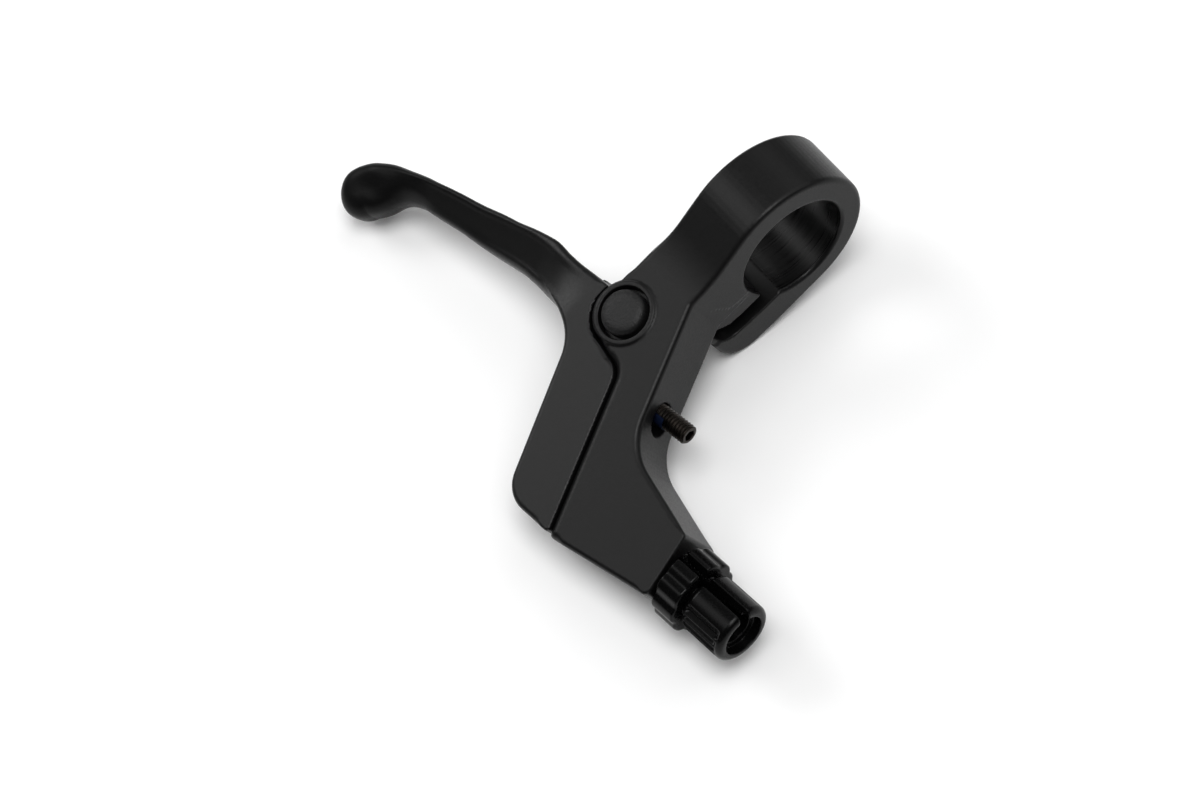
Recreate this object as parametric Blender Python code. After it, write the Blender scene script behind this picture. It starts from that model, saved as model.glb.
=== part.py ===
"""Short brake lever for a 22.2 mm bicycle handlebar.

Design frame, used by every function below and given in millimetres:
    origin  centre of the handlebar clamp's bore
    +X      along the handlebar, towards the middle of the bicycle (the cable's side)
    +Y      from the lever's body towards the handlebar
    +Z      along the lever's pivot, out of the domed head
The whole assembly hangs under the "stance" empty, which turns it about the bar by STANCE_DEG,
so that in the world frame +Z is straight up when the lever lies on the tail of its clamp and
the lower edge of its cable arm.
"""

from math import acos, atan2, cos, degrees, hypot, pi, radians, sin, tan

import bmesh
import bpy
from mathutils import Matrix, Vector

MM = 0.001
STANCE_DEG = 16.0
GAP = 0.3

# Handlebar clamp
BAR_RADIUS = 11.1
RING_RADIUS = 16.2
RING_RISE = 0.6
RING_OUTBOARD = -6.3
RING_INBOARD = 7.3
TAIL_NOSE = (-17.5, -9.4)
TAIL_NOSE_RADIUS = 6.1
CLAMP_BOLT_Y = -15.6
CLAMP_SEAT_Z = -10.8

# Bracket plate and the levels along the pivot
PLATE_LOW = -1.3
PLATE_HIGH = 12.5
EDGE = 0.7
FORK_LOW = 1.6
FORK_HIGH = 8.6
FORK_RADIUS = 7.7
PIVOT = (-1.75, -29.65)
BOSS_RADIUS = 6.5
BOSS_RIM_RADIUS = 6.2
BOSS_RISE = 0.3
HEAD_RECESS_RADIUS = 5.1
HEAD_RECESS_Z = 10.8
SCREW_RECESS_RADIUS = 3.9
SCREW_RECESS_Z = 0.2
ARM_EDGE_X = -7.1
SPLIT_TOP = (5.5, -37.6)
SPLIT_FOOT = (19.2, -67.3)
END_LOW = (41.8, -60.9)
END_HIGH = (38.9, -48.4)
NECK = (18.6, -45.2)
WALL_TOP = (7.0, -19.8)

# Cable line: the adjuster, the channel and the anchor lie on one axis
CABLE_Z = 5.6
CABLE_ANGLE = 6.1
ADJUSTER_BASE = (41.3, -55.2)
LOCK_RING_LENGTH = 5.6
LOCK_RING_RADIUS = 7.3
BARREL_RADIUS = 5.8
BARREL_HEAD_LENGTH = 10.4
BARREL_SHANK_RADIUS = 4.6
BARREL_SHANK_LENGTH = 17.0
BARREL_MOUTH_RADIUS = 3.1
BARREL_MOUTH_DEPTH = 6.5
CABLE_HOLE_RADIUS = 1.2
SLOT_WIDTH = 2.1
SLOT_TURN = 34.0
CHANNEL_WIDTH = 2.4

# Lever
SPLIT_GAP = 0.5
LEVER_FOOT = (6.8, -68.3)
LEVER_THROAT = (-8.3, -37.6)
NOTCH_ANGLE = 167.0
TONGUE_LOW = 2.7
TONGUE_HIGH = 7.5
TONGUE_RADIUS = 7.2
POCKET_RADIUS = 5.8
POCKET_TOP = 6.2
ANCHOR = (9.6, -58.6)
ANCHOR_RADIUS = 3.6
ANCHOR_LOW = 0.1
ANCHOR_HIGH = 9.4

# Pivot hardware
PIN_RADIUS = 2.8
PIN_HEAD_RADIUS = 4.55
PIN_TOP = 14.05
BUSH_WALL = 0.6
SPRING_RADIUS = 5.0
SPRING_WIRE_RADIUS = 0.4
SPRING_TURNS = 2.5
SPRING_LOW = 3.1
SPRING_PITCH = 1.05
LEG_HOLE_RADIUS = 0.7

# Reach screw, M4 x 16
REACH_TIP = (22.0, -36.7)
REACH_ANGLE = 9.0
REACH_LENGTH = 15.6
REACH_RADIUS = 1.85
REACH_PATCH_START = 5.2
REACH_PATCH_LENGTH = 2.6


# ---------------------------------------------------------------- basic shapes

def material(name, colour, roughness, metallic):
    mat = bpy.data.materials.new(name)
    mat.use_nodes = True
    shader = mat.node_tree.nodes["Principled BSDF"]
    shader.inputs["Base Color"].default_value = (*colour, 1.0)
    shader.inputs["Roughness"].default_value = roughness
    shader.inputs["Metallic"].default_value = metallic
    return mat


def empty(name, location=(0, 0, 0), rotation=(0, 0, 0), parent=None):
    item = bpy.data.objects.new(name, None)
    item.location = Vector(location) * MM
    item.rotation_euler = [radians(angle) for angle in rotation]
    item.parent = parent
    bpy.context.collection.objects.link(item)
    return item


def solid(name, points, faces, parent=None, mat=None, cutter=False):
    """A mesh object from points in millimetres, with its faces turned outwards."""
    mesh = bpy.data.meshes.new(name)
    mesh.from_pydata([Vector(point) * MM for point in points], [], faces)
    work = bmesh.new()
    work.from_mesh(mesh)
    bmesh.ops.recalc_face_normals(work, faces=work.faces)
    work.to_mesh(mesh)
    work.free()
    item = bpy.data.objects.new(name, mesh)
    item.parent = parent
    bpy.context.collection.objects.link(item)
    if mat:
        mesh.materials.append(mat)
    if cutter:
        item.hide_render = True
        item.display_type = "WIRE"
    else:
        mesh.shade_smooth()
        mesh.set_sharp_from_angle(angle=radians(30))
    return item


def signed_area(outline):
    pairs = zip(outline, outline[1:] + outline[:1])
    return 0.5 * sum(a[0] * b[1] - b[0] * a[1] for a, b in pairs)


def counterclockwise(outline):
    return outline if signed_area(outline) > 0 else outline[::-1]


def arc(centre, radius, start, end, step=12.0):
    """Points on an arc from start to end, both included, with angles in degrees."""
    count = max(1, round(abs(end - start) / step))
    angles = [radians(start + (end - start) * i / count) for i in range(count + 1)]
    return [(centre[0] + radius * cos(a), centre[1] + radius * sin(a)) for a in angles]


def rounded(corners, step=15.0):
    """Round each corner (x, y, radius) of a closed outline; radius 0 keeps it sharp."""
    outline = []
    for i, (x, y, radius) in enumerate(corners):
        corner = Vector((x, y))
        if radius == 0:
            outline.append((x, y))
            continue
        before = (Vector(corners[i - 1][:2]) - corner).normalized()
        after = (Vector(corners[(i + 1) % len(corners)][:2]) - corner).normalized()
        half = before.angle(after) / 2
        centre = corner + (before + after).normalized() * (radius / sin(half))
        first = corner + before * (radius / tan(half)) - centre
        last = corner + after * (radius / tan(half)) - centre
        start = degrees(atan2(first.y, first.x))
        sweep = (degrees(atan2(last.y, last.x)) - start + 180) % 360 - 180
        outline += arc(centre, radius, start, start + sweep, step)
    return outline


def inset(outline, distance):
    """Move a counterclockwise outline inwards by a small distance."""
    moved = []
    for i, point in enumerate(outline):
        here = Vector(point)
        into = (here - Vector(outline[i - 1])).normalized()
        out = (Vector(outline[(i + 1) % len(outline)]) - here).normalized()
        normal = Vector((-into.y - out.y, into.x + out.x)).normalized()
        stretch = normal.dot(Vector((-into.y, into.x)))
        moved.append(tuple(here + normal * (distance / max(stretch, 0.5))))
    return moved


def prism(name, outline, low, high, edge=0.0, along="Z", **options):
    """Extrude an outline from low to high, with both rims chamfered by edge."""
    outline = counterclockwise(outline)
    small = inset(outline, edge) if edge else outline
    levels = [(small, low), (outline, low + edge), (outline, high - edge), (small, high)]
    if not edge:
        levels = [levels[0], levels[3]]
    place = {"Z": lambda u, v, w: (u, v, w), "X": lambda u, v, w: (w, u, v)}[along]
    points = [place(u, v, w) for ring, w in levels for u, v in ring]
    size = len(outline)
    faces = [list(range(size))[::-1], list(range(len(points) - size, len(points)))]
    for level in range(len(levels) - 1):
        base = level * size
        for i in range(size):
            j = (i + 1) % size
            faces.append([base + i, base + j, base + j + size, base + i + size])
    return solid(name, points, faces, **options)


def turned(name, profile, segments=32, **options):
    """Turn a closed profile of (radius, height) about Z; radius 0 lies on the axis."""
    points, rings = [], []
    for radius, height in profile:
        if radius == 0:
            rings.append([len(points)] * segments)
            points.append((0, 0, height))
            continue
        rings.append(list(range(len(points), len(points) + segments)))
        for i in range(segments):
            angle = 2 * pi * i / segments
            points.append((radius * cos(angle), radius * sin(angle), height))
    faces = []
    for lower, upper in zip(rings, rings[1:] + rings[:1]):
        for i in range(segments):
            j = (i + 1) % segments
            face = list(dict.fromkeys([lower[i], lower[j], upper[j], upper[i]]))
            if len(face) > 2:
                faces.append(face)
    return solid(name, points, faces, **options)


def cylinder(name, radius, low, high, segments=32, **options):
    profile = [(0, low), (radius, low), (radius, high), (0, high)]
    return turned(name, profile, segments, **options)


def tube(name, inner, outer, low, high, segments=32, **options):
    profile = [(inner, low), (outer, low), (outer, high), (inner, high)]
    return turned(name, profile, segments, **options)


def hexagon(across_flats):
    radius = across_flats / (2 * cos(pi / 6))
    return [(radius * cos(pi / 3 * i), radius * sin(pi / 3 * i)) for i in range(6)]


def boolean(item, other, operation):
    modifier = item.modifiers.new(operation.lower(), "BOOLEAN")
    modifier.operation = operation
    modifier.object = other
    modifier.solver = "EXACT"


def weld(item):
    modifier = item.modifiers.new("weld", "WELD")
    modifier.merge_threshold = 0.004 * MM


def cut(item, *cutters):
    for cutter in cutters:
        boolean(item, cutter, "DIFFERENCE")
        weld(item)


def fuse(item, *others):
    for other in others:
        boolean(item, other, "UNION")
        weld(item)


def at(item, location, rotation=(0, 0, 0)):
    item.location = Vector(location) * MM
    item.rotation_euler = [radians(angle) for angle in rotation]
    return item


# ------------------------------------------------------------------- outlines

def on_cable_line(x):
    """The y of the cable's straight line at x."""
    return ADJUSTER_BASE[1] + tan(radians(CABLE_ANGLE)) * (x - ADJUSTER_BASE[0])


def plate_outline():
    """The bracket seen along the pivot: arm root, boss, split edge, cable end and neck."""
    leave = degrees(acos((ARM_EDGE_X - PIVOT[0]) / BOSS_RADIUS))
    boss = arc(PIVOT, BOSS_RADIUS, leave, 260.0)
    rest = rounded([
        (*boss[-1], 0),
        (*SPLIT_TOP, 4.0),
        (*SPLIT_FOOT, 1.0),
        (*END_LOW, 1.2),
        (*END_HIGH, 0.8),
        (*NECK, 11.0),
        (*WALL_TOP, 1.5),
        (WALL_TOP[0], -15.0, 0),
        (ARM_EDGE_X, -15.0, 0),
    ])
    return boss + rest[1:]


def clamp_profile():
    """The clamp seen along the bar: ring, arm top, upper jaw, slit, and the lower jaw's tail."""
    ring_centre = (0.0, RING_RISE)
    jaw = rounded([
        (-10.3, -4.5, 0),
        (-18.6, -4.7, 4.0),
        (-22.0, -0.9, 1.0),
        (-24.0, -0.9, 0),
        (-24.0, 12.3, 0),
        (-16.3, 12.5, 12.0),
        (-4.65, 16.12, 0),
    ])
    outside = arc(ring_centre, RING_RADIUS, 106.0, -90.0, 9.0)
    nose = arc(TAIL_NOSE, TAIL_NOSE_RADIUS, -90.0, -180.0)
    tail = rounded([
        (*nose[-1], 0),
        (-23.6, -2.2, 0.5),
        (-22.5, -2.2, 0.4),
        (-21.4, -7.6, 4.0),
        (-8.1, -7.9, 0),
    ])
    bore = arc((0.0, 0.0), BAR_RADIUS, 223.0 - 360.0, 203.5, 7.5)
    return jaw[1:] + outside + nose + tail[1:-1] + bore


def split_offset():
    """The corner of the lever's edge that faces the bracket's upper split corner."""
    top, foot = Vector(SPLIT_TOP), Vector(SPLIT_FOOT)
    start = Vector(arc(PIVOT, BOSS_RADIUS, 260.0, 261.0)[0])
    first, second = (top - start).normalized(), (foot - top).normalized()
    normals = Vector((first.y, -first.x)), Vector((second.y, -second.x))
    corner = top + (normals[0] + normals[1]) * (SPLIT_GAP / (1 + normals[0].dot(normals[1])))
    return corner, foot + normals[1] * SPLIT_GAP


def lever_outline():
    """The lever's body seen along the pivot, without its blade."""
    corner, foot = split_offset()
    inner = arc(PIVOT, BOSS_RADIUS + SPLIT_GAP, NOTCH_ANGLE, 260.0)
    rest = rounded([
        (*inner[-1], 0),
        (*corner, 4.4),
        (foot.x - 0.2, foot.y + 0.5, 0.8),
        (*LEVER_FOOT, 6.3),
        (*LEVER_THROAT, 10.0),
        (-14.6, -38.3, 1.5),
        (-14.6, -30.3, 1.5),
        (-11.5, -28.9, 4.0),
        (*inner[0], 0),
    ])
    return inner + rest[1:-1]


def fluted(radius, count, depth, turn=0.0):
    """A round outline with count shallow grooves."""
    outline = []
    pitch = 2 * pi / count
    for i in range(count):
        base = radians(turn) + i * pitch
        for share, cut_in in ((0.0, depth), (0.1, 0.6 * depth), (0.17, 0), (0.5, 0), (0.83, 0), (0.9, 0.6 * depth)):
            angle = base + share * pitch
            outline.append(((radius - cut_in) * cos(angle), (radius - cut_in) * sin(angle)))
    return outline


# --------------------------------------------------------------------- pieces

def bracket(stance, mat):
    item = prism("bracket_body", plate_outline(), PLATE_LOW, PLATE_HIGH, EDGE, parent=stance, mat=mat)
    clamp = prism("clamp_form", clamp_profile(), RING_OUTBOARD, RING_INBOARD, EDGE, "X",
                  parent=stance, cutter=True)
    boss = at(cylinder("boss_form", BOSS_RIM_RADIUS, 9.0, PLATE_HIGH + BOSS_RISE, 40,
                       parent=stance, cutter=True), (*PIVOT, 0))
    fuse(item, clamp, boss)
    pivot_cuts = [
        cylinder("fork_cut", FORK_RADIUS, FORK_LOW, FORK_HIGH, 48, parent=stance, cutter=True),
        cylinder("pin_hole_cut", PIN_RADIUS + GAP, -3, 14, parent=stance, cutter=True),
        cylinder("head_recess_cut", HEAD_RECESS_RADIUS, HEAD_RECESS_Z, 15, 40, parent=stance, cutter=True),
        cylinder("screw_recess_cut", SCREW_RECESS_RADIUS, -3, SCREW_RECESS_Z, parent=stance, cutter=True),
    ]
    for form in pivot_cuts:
        at(form, (*PIVOT, 0))
    leg = at(cylinder("leg_hole_cut", LEG_HOLE_RADIUS, 0.4, 2.0, 16, parent=stance, cutter=True),
             (PIVOT[0] + SPRING_RADIUS, PIVOT[1], 0))
    bolt = at(turned("bolt_hole_cut", [
        (0, -17), (4.4, -17), (4.4, CLAMP_SEAT_Z), (2.9, CLAMP_SEAT_Z), (2.9, -6), (2.65, -6), (2.65, 5), (0, 6.5),
    ], parent=stance, cutter=True), (0, CLAMP_BOLT_Y, 0))
    reach = at(cylinder("reach_hole_cut", REACH_RADIUS + 0.4, -20, 2, 24, parent=stance, cutter=True),
               (*REACH_TIP, CABLE_Z), (0, 90, REACH_ANGLE))
    socket = at(cylinder("socket_cut", BARREL_SHANK_RADIUS + 0.35, -14, 4, parent=stance, cutter=True),
                (*ADJUSTER_BASE, CABLE_Z), (0, 90, CABLE_ANGLE))
    channel = prism("channel_cut", [
        (8.0, on_cable_line(8.0) + CHANNEL_WIDTH / 2), (8.0, -75.0), (48.0, -75.0),
        (48.0, on_cable_line(48.0) + CHANNEL_WIDTH / 2),
    ], CABLE_Z - CHANNEL_WIDTH / 2, CABLE_Z + CHANNEL_WIDTH / 2, parent=stance, cutter=True)
    cut(item, *pivot_cuts, leg, bolt, reach, socket, channel)
    return item


def blade_stations():
    """Centre x, y, z, half width and half height along the blade, root to tip."""
    return [
        (-10.5, -33.9, 5.6, 5.3, 7.1),
        (-18.0, -34.1, 5.6, 4.5, 7.0),
        (-26.0, -34.9, 5.4, 4.3, 6.4),
        (-33.0, -36.75, 5.0, 4.0, 5.7),
        (-40.0, -38.95, 4.4, 3.6, 5.2),
        (-46.7, -40.7, 3.9, 3.35, 5.0),
        (-52.0, -42.2, 3.5, 3.15, 4.9),
        (-55.6, -43.2, 3.2, 3.15, 4.9),
        (-59.0, -44.7, 2.9, 3.5, 5.0),
        (-62.3, -46.8, 2.7, 4.3, 5.2),
        (-65.0, -49.2, 2.5, 4.8, 5.4),
        (-67.0, -51.6, 2.4, 4.8, 5.3),
        (-68.1, -53.9, 2.4, 4.1, 4.8),
    ]


def smooth_between(stations, steps):
    """Catmull-Rom points through the stations."""
    padded = [stations[0]] + stations + [stations[-1]]
    dense = []
    for a, b, c, d in zip(padded, padded[1:], padded[2:], padded[3:]):
        for i in range(steps):
            t = i / steps
            dense.append(tuple(
                0.5 * (2 * q + (r - p) * t + (2 * p - 5 * q + 4 * r - s) * t * t + (3 * q - p - 3 * r + s) * t ** 3)
                for p, q, r, s in zip(a, b, c, d)
            ))
    return dense + [stations[-1]]


def blade_form(parent, sides=20):
    """Loft rounded sections, square to the blade's line seen along the pivot."""
    rows = smooth_between(blade_stations(), 2)
    points, faces = [], []
    for i, (x, y, z, width, height) in enumerate(rows):
        before, after = rows[max(i - 1, 0)], rows[min(i + 1, len(rows) - 1)]
        along = Vector((after[0] - before[0], after[1] - before[1])).normalized()
        across = Vector((-along.y, along.x))
        for k in range(sides):
            angle = 2 * pi * (k + 0.5) / sides
            side = abs(cos(angle)) ** 0.7 * (1 if cos(angle) > 0 else -1) * width
            rise = abs(sin(angle)) ** 0.7 * (1 if sin(angle) > 0 else -1) * height
            points.append((x + across.x * side, y + across.y * side, z + rise))
    for i in range(len(rows) - 1):
        for k in range(sides):
            j = (k + 1) % sides
            faces.append([i * sides + k, i * sides + j, (i + 1) * sides + j, (i + 1) * sides + k])
    faces.append(list(range(sides)))
    last = (len(rows) - 1) * sides
    tip = Vector(rows[-1][:3])
    onward = (tip - Vector(rows[-2][:3])).normalized()
    ends = [last + k for k in range(sides)]
    for scale, reach in ((0.85, 1.4), (0.5, 2.4)):
        ring = []
        for k in range(sides):
            edge = Vector(points[last + k])
            ring.append(len(points))
            points.append(tuple(tip + (edge - tip) * scale + onward * reach))
        for k in range(sides):
            j = (k + 1) % sides
            faces.append([ends[k], ends[j], ring[j], ring[k]])
        ends = ring
    faces.append(ends)
    return solid("blade_form", points, faces, parent=parent, cutter=True)


def lever(axis, mat):
    """The lever in one piece; its origin lies on the pivot's axis."""
    shift = at(empty("lever_forms", parent=axis), (-PIVOT[0], -PIVOT[1], 0))
    item = prism("lever_blade", [(x - PIVOT[0], y - PIVOT[1]) for x, y in lever_outline()],
                 PLATE_LOW, PLATE_HIGH, EDGE, parent=axis, mat=mat)
    sector = [PIVOT] + arc(PIVOT, 11.0, 174.0, 250.0)
    tongue = prism("tongue_form", sector, TONGUE_LOW, TONGUE_HIGH, parent=shift, cutter=True)
    eye = at(cylinder("eye_form", TONGUE_RADIUS, TONGUE_LOW, TONGUE_HIGH, 40, parent=shift, cutter=True),
             (*PIVOT, 0))
    fuse(item, blade_form(shift), tongue, eye)
    bush = at(turned("pocket_cut", [
        (0, 2.0), (POCKET_RADIUS, 2.0), (POCKET_RADIUS, POCKET_TOP), (PIN_RADIUS + BUSH_WALL + 2 * GAP, POCKET_TOP),
        (PIN_RADIUS + BUSH_WALL + 2 * GAP, 8.0), (0, 8.0),
    ], 40, parent=shift, cutter=True), (*PIVOT, 0))
    leg = at(cylinder("upper_leg_cut", LEG_HOLE_RADIUS, 5.5, 8.0, 16, parent=shift, cutter=True),
             (PIVOT[0] - SPRING_RADIUS, PIVOT[1], 0))
    drum = at(turned("anchor_cut", [
        (0, -2), (3.95, -2), (3.95, -1.0), (4.4, -1.0), (4.4, 0.1 - GAP + 0.2), (3.95, 0.1 - GAP + 0.2),
        (3.95, ANCHOR_HIGH + GAP), (0, ANCHOR_HIGH + GAP),
    ], 32, parent=shift, cutter=True), (*ANCHOR, 0))
    channel = prism("lever_channel_cut", [
        (7.0, -54.6), (7.0, -75.0), (24.0, -75.0), (24.0, -52.4), (10.5, -54.6),
    ], CABLE_Z - CHANNEL_WIDTH / 2, CABLE_Z + CHANNEL_WIDTH / 2, parent=shift, cutter=True)
    cut(item, bush, leg, drum, channel)
    return item


def pivot_hardware(stance, axis, steel, dark, bronze, nylon):
    shank_low = 0.9
    pin = turned("pivot_pin", [
        (0, PIN_TOP), (2.4, PIN_TOP - 0.05), (3.6, PIN_TOP - 0.3), (4.3, PIN_TOP - 0.85),
        (PIN_HEAD_RADIUS, PIN_TOP - 1.6), (PIN_HEAD_RADIUS, HEAD_RECESS_Z + GAP),
        (PIN_RADIUS, HEAD_RECESS_Z + GAP), (PIN_RADIUS, shank_low), (1.9, shank_low), (1.9, 9.2), (0, 10.0),
    ], 40, parent=stance, mat=dark)
    head_top = SCREW_RECESS_Z - 3 * GAP - 0.4
    screw = turned("pivot_screw", [
        (0, 8.6), (1.2, 8.6), (1.6, 8.2), (1.6, head_top), (3.5, head_top), (3.5, head_top - 0.5),
        (2.6, head_top - 1.3), (0, head_top - 1.4),
    ], parent=stance, mat=steel)
    socket = prism("pivot_socket_cut", hexagon(2.5), head_top - 2, head_top - 0.4, parent=stance, cutter=True)
    washer = tube("pivot_screw_washer", 2.0, 3.6, head_top + GAP, SCREW_RECESS_Z - GAP, parent=stance, mat=steel)
    bush = tube("pivot_bush", PIN_RADIUS + GAP, PIN_RADIUS + GAP + BUSH_WALL, FORK_LOW + GAP, FORK_HIGH - GAP,
                40, parent=stance, mat=bronze)
    lower = tube("lower_thrust_washer", 4.0, 6.3, FORK_LOW + GAP, TONGUE_LOW - GAP, 40, parent=stance, mat=nylon)
    upper = tube("upper_thrust_washer", 4.0, 6.3, TONGUE_HIGH + GAP, FORK_HIGH - GAP, 40, parent=stance, mat=nylon)
    for item in (pin, screw, socket, washer, bush, lower, upper):
        at(item, (*PIVOT, 0))
    cut(screw, socket)
    leg = at(cylinder("washer_leg_cut", LEG_HOLE_RADIUS, 1.0, 3.0, 16, parent=stance, cutter=True),
             (PIVOT[0] + SPRING_RADIUS, PIVOT[1], 0))
    cut(lower, leg)


def return_spring(stance, mat):
    """A torsion spring of round wire, with both legs parallel to the pivot."""
    per_turn = 20
    count = round(SPRING_TURNS * per_turn)
    path = [(SPRING_RADIUS, 0.0, 0.8), (SPRING_RADIUS, 0.0, 2.2)]
    for i in range(count + 1):
        angle = 2 * pi * i / per_turn
        height = SPRING_LOW + SPRING_PITCH * i / per_turn
        path.append((SPRING_RADIUS * cos(angle), SPRING_RADIUS * sin(angle), height))
    path.append((-SPRING_RADIUS, path[-1][1], 6.5))
    path.append((-SPRING_RADIUS, path[-1][1], 7.3))
    curve = bpy.data.curves.new("return_spring", "CURVE")
    curve.dimensions = "3D"
    curve.bevel_depth = SPRING_WIRE_RADIUS * MM
    curve.bevel_resolution = 2
    curve.use_fill_caps = True
    curve.materials.append(mat)
    spline = curve.splines.new("POLY")
    spline.points.add(len(path) - 1)
    for point, place in zip(spline.points, path):
        point.co = (*(Vector(place) * MM), 1.0)
    item = bpy.data.objects.new("return_spring", curve)
    item.parent = stance
    at(item, (*PIVOT, 0))
    bpy.context.collection.objects.link(item)


def cable_anchor(axis, brass, steel):
    """The drum that holds the cable's nipple, and the snap ring under it."""
    place = (ANCHOR[0] - PIVOT[0], ANCHOR[1] - PIVOT[1], 0)
    drum = at(turned("cable_anchor", [
        (0, ANCHOR_LOW), (3.2, ANCHOR_LOW), (ANCHOR_RADIUS, 0.5), (ANCHOR_RADIUS, 9.0), (3.2, ANCHOR_HIGH),
        (0, ANCHOR_HIGH),
    ], parent=axis, mat=brass), place)
    pocket = at(cylinder("nipple_cut", 1.9, -1, 8.2, 24, parent=axis, cutter=True), place)
    slit = at(prism("nipple_slit_cut", [(0, -0.9), (5, -0.9), (5, 0.9), (0, 0.9)], -1, CABLE_Z + 0.9,
                    parent=axis, cutter=True), place, (0, 0, CABLE_ANGLE))
    cut(drum, pocket, slit)
    ring = arc((0, 0), 4.1, 30, 330) + arc((0, 0), 3.2, 330, 30)
    clip = prism("anchor_clip", ring, -0.7, -0.2, parent=axis, mat=steel)
    at(clip, place, (0, 0, 200))


def adjuster(stance, black):
    """The fluted barrel and its lock ring, on the cable's axis."""
    line = empty("adjuster_axis", (*ADJUSTER_BASE, CABLE_Z), (0, 0, CABLE_ANGLE), stance)
    upright = empty("adjuster_upright", (0, 0, 0), (0, 90, 0), line)
    head_low = LOCK_RING_LENGTH + 0.5
    head_high = head_low + BARREL_HEAD_LENGTH
    barrel = prism("adjuster_barrel", fluted(BARREL_RADIUS, 12, 0.35), head_low, head_high, 0.4,
                   parent=upright, mat=black)
    shank = cylinder("shank_form", BARREL_SHANK_RADIUS, head_high - BARREL_HEAD_LENGTH - BARREL_SHANK_LENGTH,
                     head_low + 2, parent=upright, cutter=True)
    fuse(barrel, shank)
    mouth = turned("mouth_cut", [
        (0, head_high + 1), (BARREL_MOUTH_RADIUS + 1.5, head_high + 1), (BARREL_MOUTH_RADIUS, head_high - 0.5),
        (BARREL_MOUTH_RADIUS, head_high - BARREL_MOUTH_DEPTH), (CABLE_HOLE_RADIUS, head_high - BARREL_MOUTH_DEPTH),
        (CABLE_HOLE_RADIUS, -20), (0, -20),
    ], parent=upright, cutter=True)
    slit = [(0, -SLOT_WIDTH / 2), (9, -SLOT_WIDTH / 2), (9, SLOT_WIDTH / 2), (0, SLOT_WIDTH / 2)]
    barrel_slot = prism("barrel_slot_cut", slit, -20, head_high + 1, parent=upright, cutter=True)
    at(barrel_slot, (0, 0, 0), (0, 0, 180 - SLOT_TURN))
    cut(barrel, mouth, barrel_slot)
    ring = prism("adjuster_lock_ring", fluted(LOCK_RING_RADIUS, 10, 0.5), 0, LOCK_RING_LENGTH, 0.4,
                 parent=upright, mat=black)
    hole = cylinder("lock_ring_hole_cut", BARREL_SHANK_RADIUS + GAP, -1, 7, parent=upright, cutter=True)
    ring_slot = prism("lock_ring_slot_cut", slit, -1, 7, parent=upright, cutter=True)
    at(ring_slot, (0, 0, 0), (0, 0, 180 - SLOT_TURN))
    cut(ring, hole, ring_slot)


def clamp_bolt(stance, steel):
    washer_high = CLAMP_SEAT_Z - GAP
    washer_low = washer_high - 0.6
    head_high = washer_low - GAP
    head_low = head_high - 2.9
    bolt = turned("clamp_bolt", [
        (0, 4.4), (1.9, 4.4), (2.3, 4.0), (2.3, head_high), (4.0, head_high), (4.0, head_low + 0.4),
        (3.6, head_low), (0, head_low),
    ], parent=stance, mat=steel)
    socket = prism("clamp_socket_cut", hexagon(4.0), head_low - 1, head_low + 1.8, parent=stance, cutter=True)
    washer = tube("clamp_washer", 2.6, 4.1, washer_low, washer_high, parent=stance, mat=steel)
    for item in (bolt, socket, washer):
        at(item, (0, CLAMP_BOLT_Y, 0))
    cut(bolt, socket)


def reach_screw(stance, steel, blue):
    """A grub screw, outer end at the axis empty, with a patch of thread lock at its root."""
    line = empty("reach_axis", (*REACH_TIP, CABLE_Z), (0, 90, REACH_ANGLE), stance)
    screw = turned("reach_screw", [
        (0, 0), (1.5, 0), (REACH_RADIUS, -0.35), (REACH_RADIUS, 0.6 - REACH_LENGTH), (1.3, -REACH_LENGTH),
        (0, -REACH_LENGTH),
    ], parent=line, mat=steel)
    socket = prism("reach_socket_cut", hexagon(2.0), -2.2, 1, parent=line, cutter=True)
    cut(screw, socket)
    shell = arc((0, 0), 2.15, -80, 80) + arc((0, 0), 1.98, 80, -80)
    patch = prism("reach_screw_patch", shell, -REACH_PATCH_START - REACH_PATCH_LENGTH, -REACH_PATCH_START,
                  parent=line, mat=blue)
    at(patch, (0, 0, 0), (0, 0, -90))


def main():
    for item in list(bpy.data.objects):
        bpy.data.objects.remove(item, do_unlink=True)
    alloy = material("satin_black_alloy", (0.020, 0.020, 0.022), 0.42, 0.4)
    blade = material("satin_black_lever", (0.020, 0.020, 0.022), 0.40, 0.4)
    gloss = material("gloss_black_plastic", (0.012, 0.012, 0.013), 0.22, 0.0)
    dark = material("black_head", (0.018, 0.018, 0.018), 0.6, 0.3)
    oxide = material("black_oxide_steel", (0.05, 0.047, 0.045), 0.4, 0.9)
    plain = material("zinc_steel", (0.45, 0.46, 0.48), 0.35, 1.0)
    bronze = material("bronze", (0.42, 0.27, 0.12), 0.4, 1.0)
    brass = material("brass", (0.55, 0.42, 0.18), 0.35, 1.0)
    nylon = material("white_nylon", (0.75, 0.74, 0.70), 0.5, 0.0)
    blue = material("blue_thread_lock", (0.02, 0.06, 0.18), 0.6, 0.0)

    stance = empty("stance", rotation=(STANCE_DEG, 0, 0))
    lever_axis = empty("lever_axis", (*PIVOT, 0), parent=stance)
    bracket(stance, alloy)
    lever(lever_axis, blade)
    pivot_hardware(stance, lever_axis, oxide, dark, bronze, nylon)
    return_spring(stance, plain)
    cable_anchor(lever_axis, brass, plain)
    adjuster(stance, gloss)
    clamp_bolt(stance, oxide)
    reach_screw(stance, oxide, blue)


main()
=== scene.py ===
from math import acos, atan2, cos, degrees, pi, radians, sin, tan

import bmesh
import bpy
import numpy as np
from mathutils import Matrix, Vector


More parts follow.
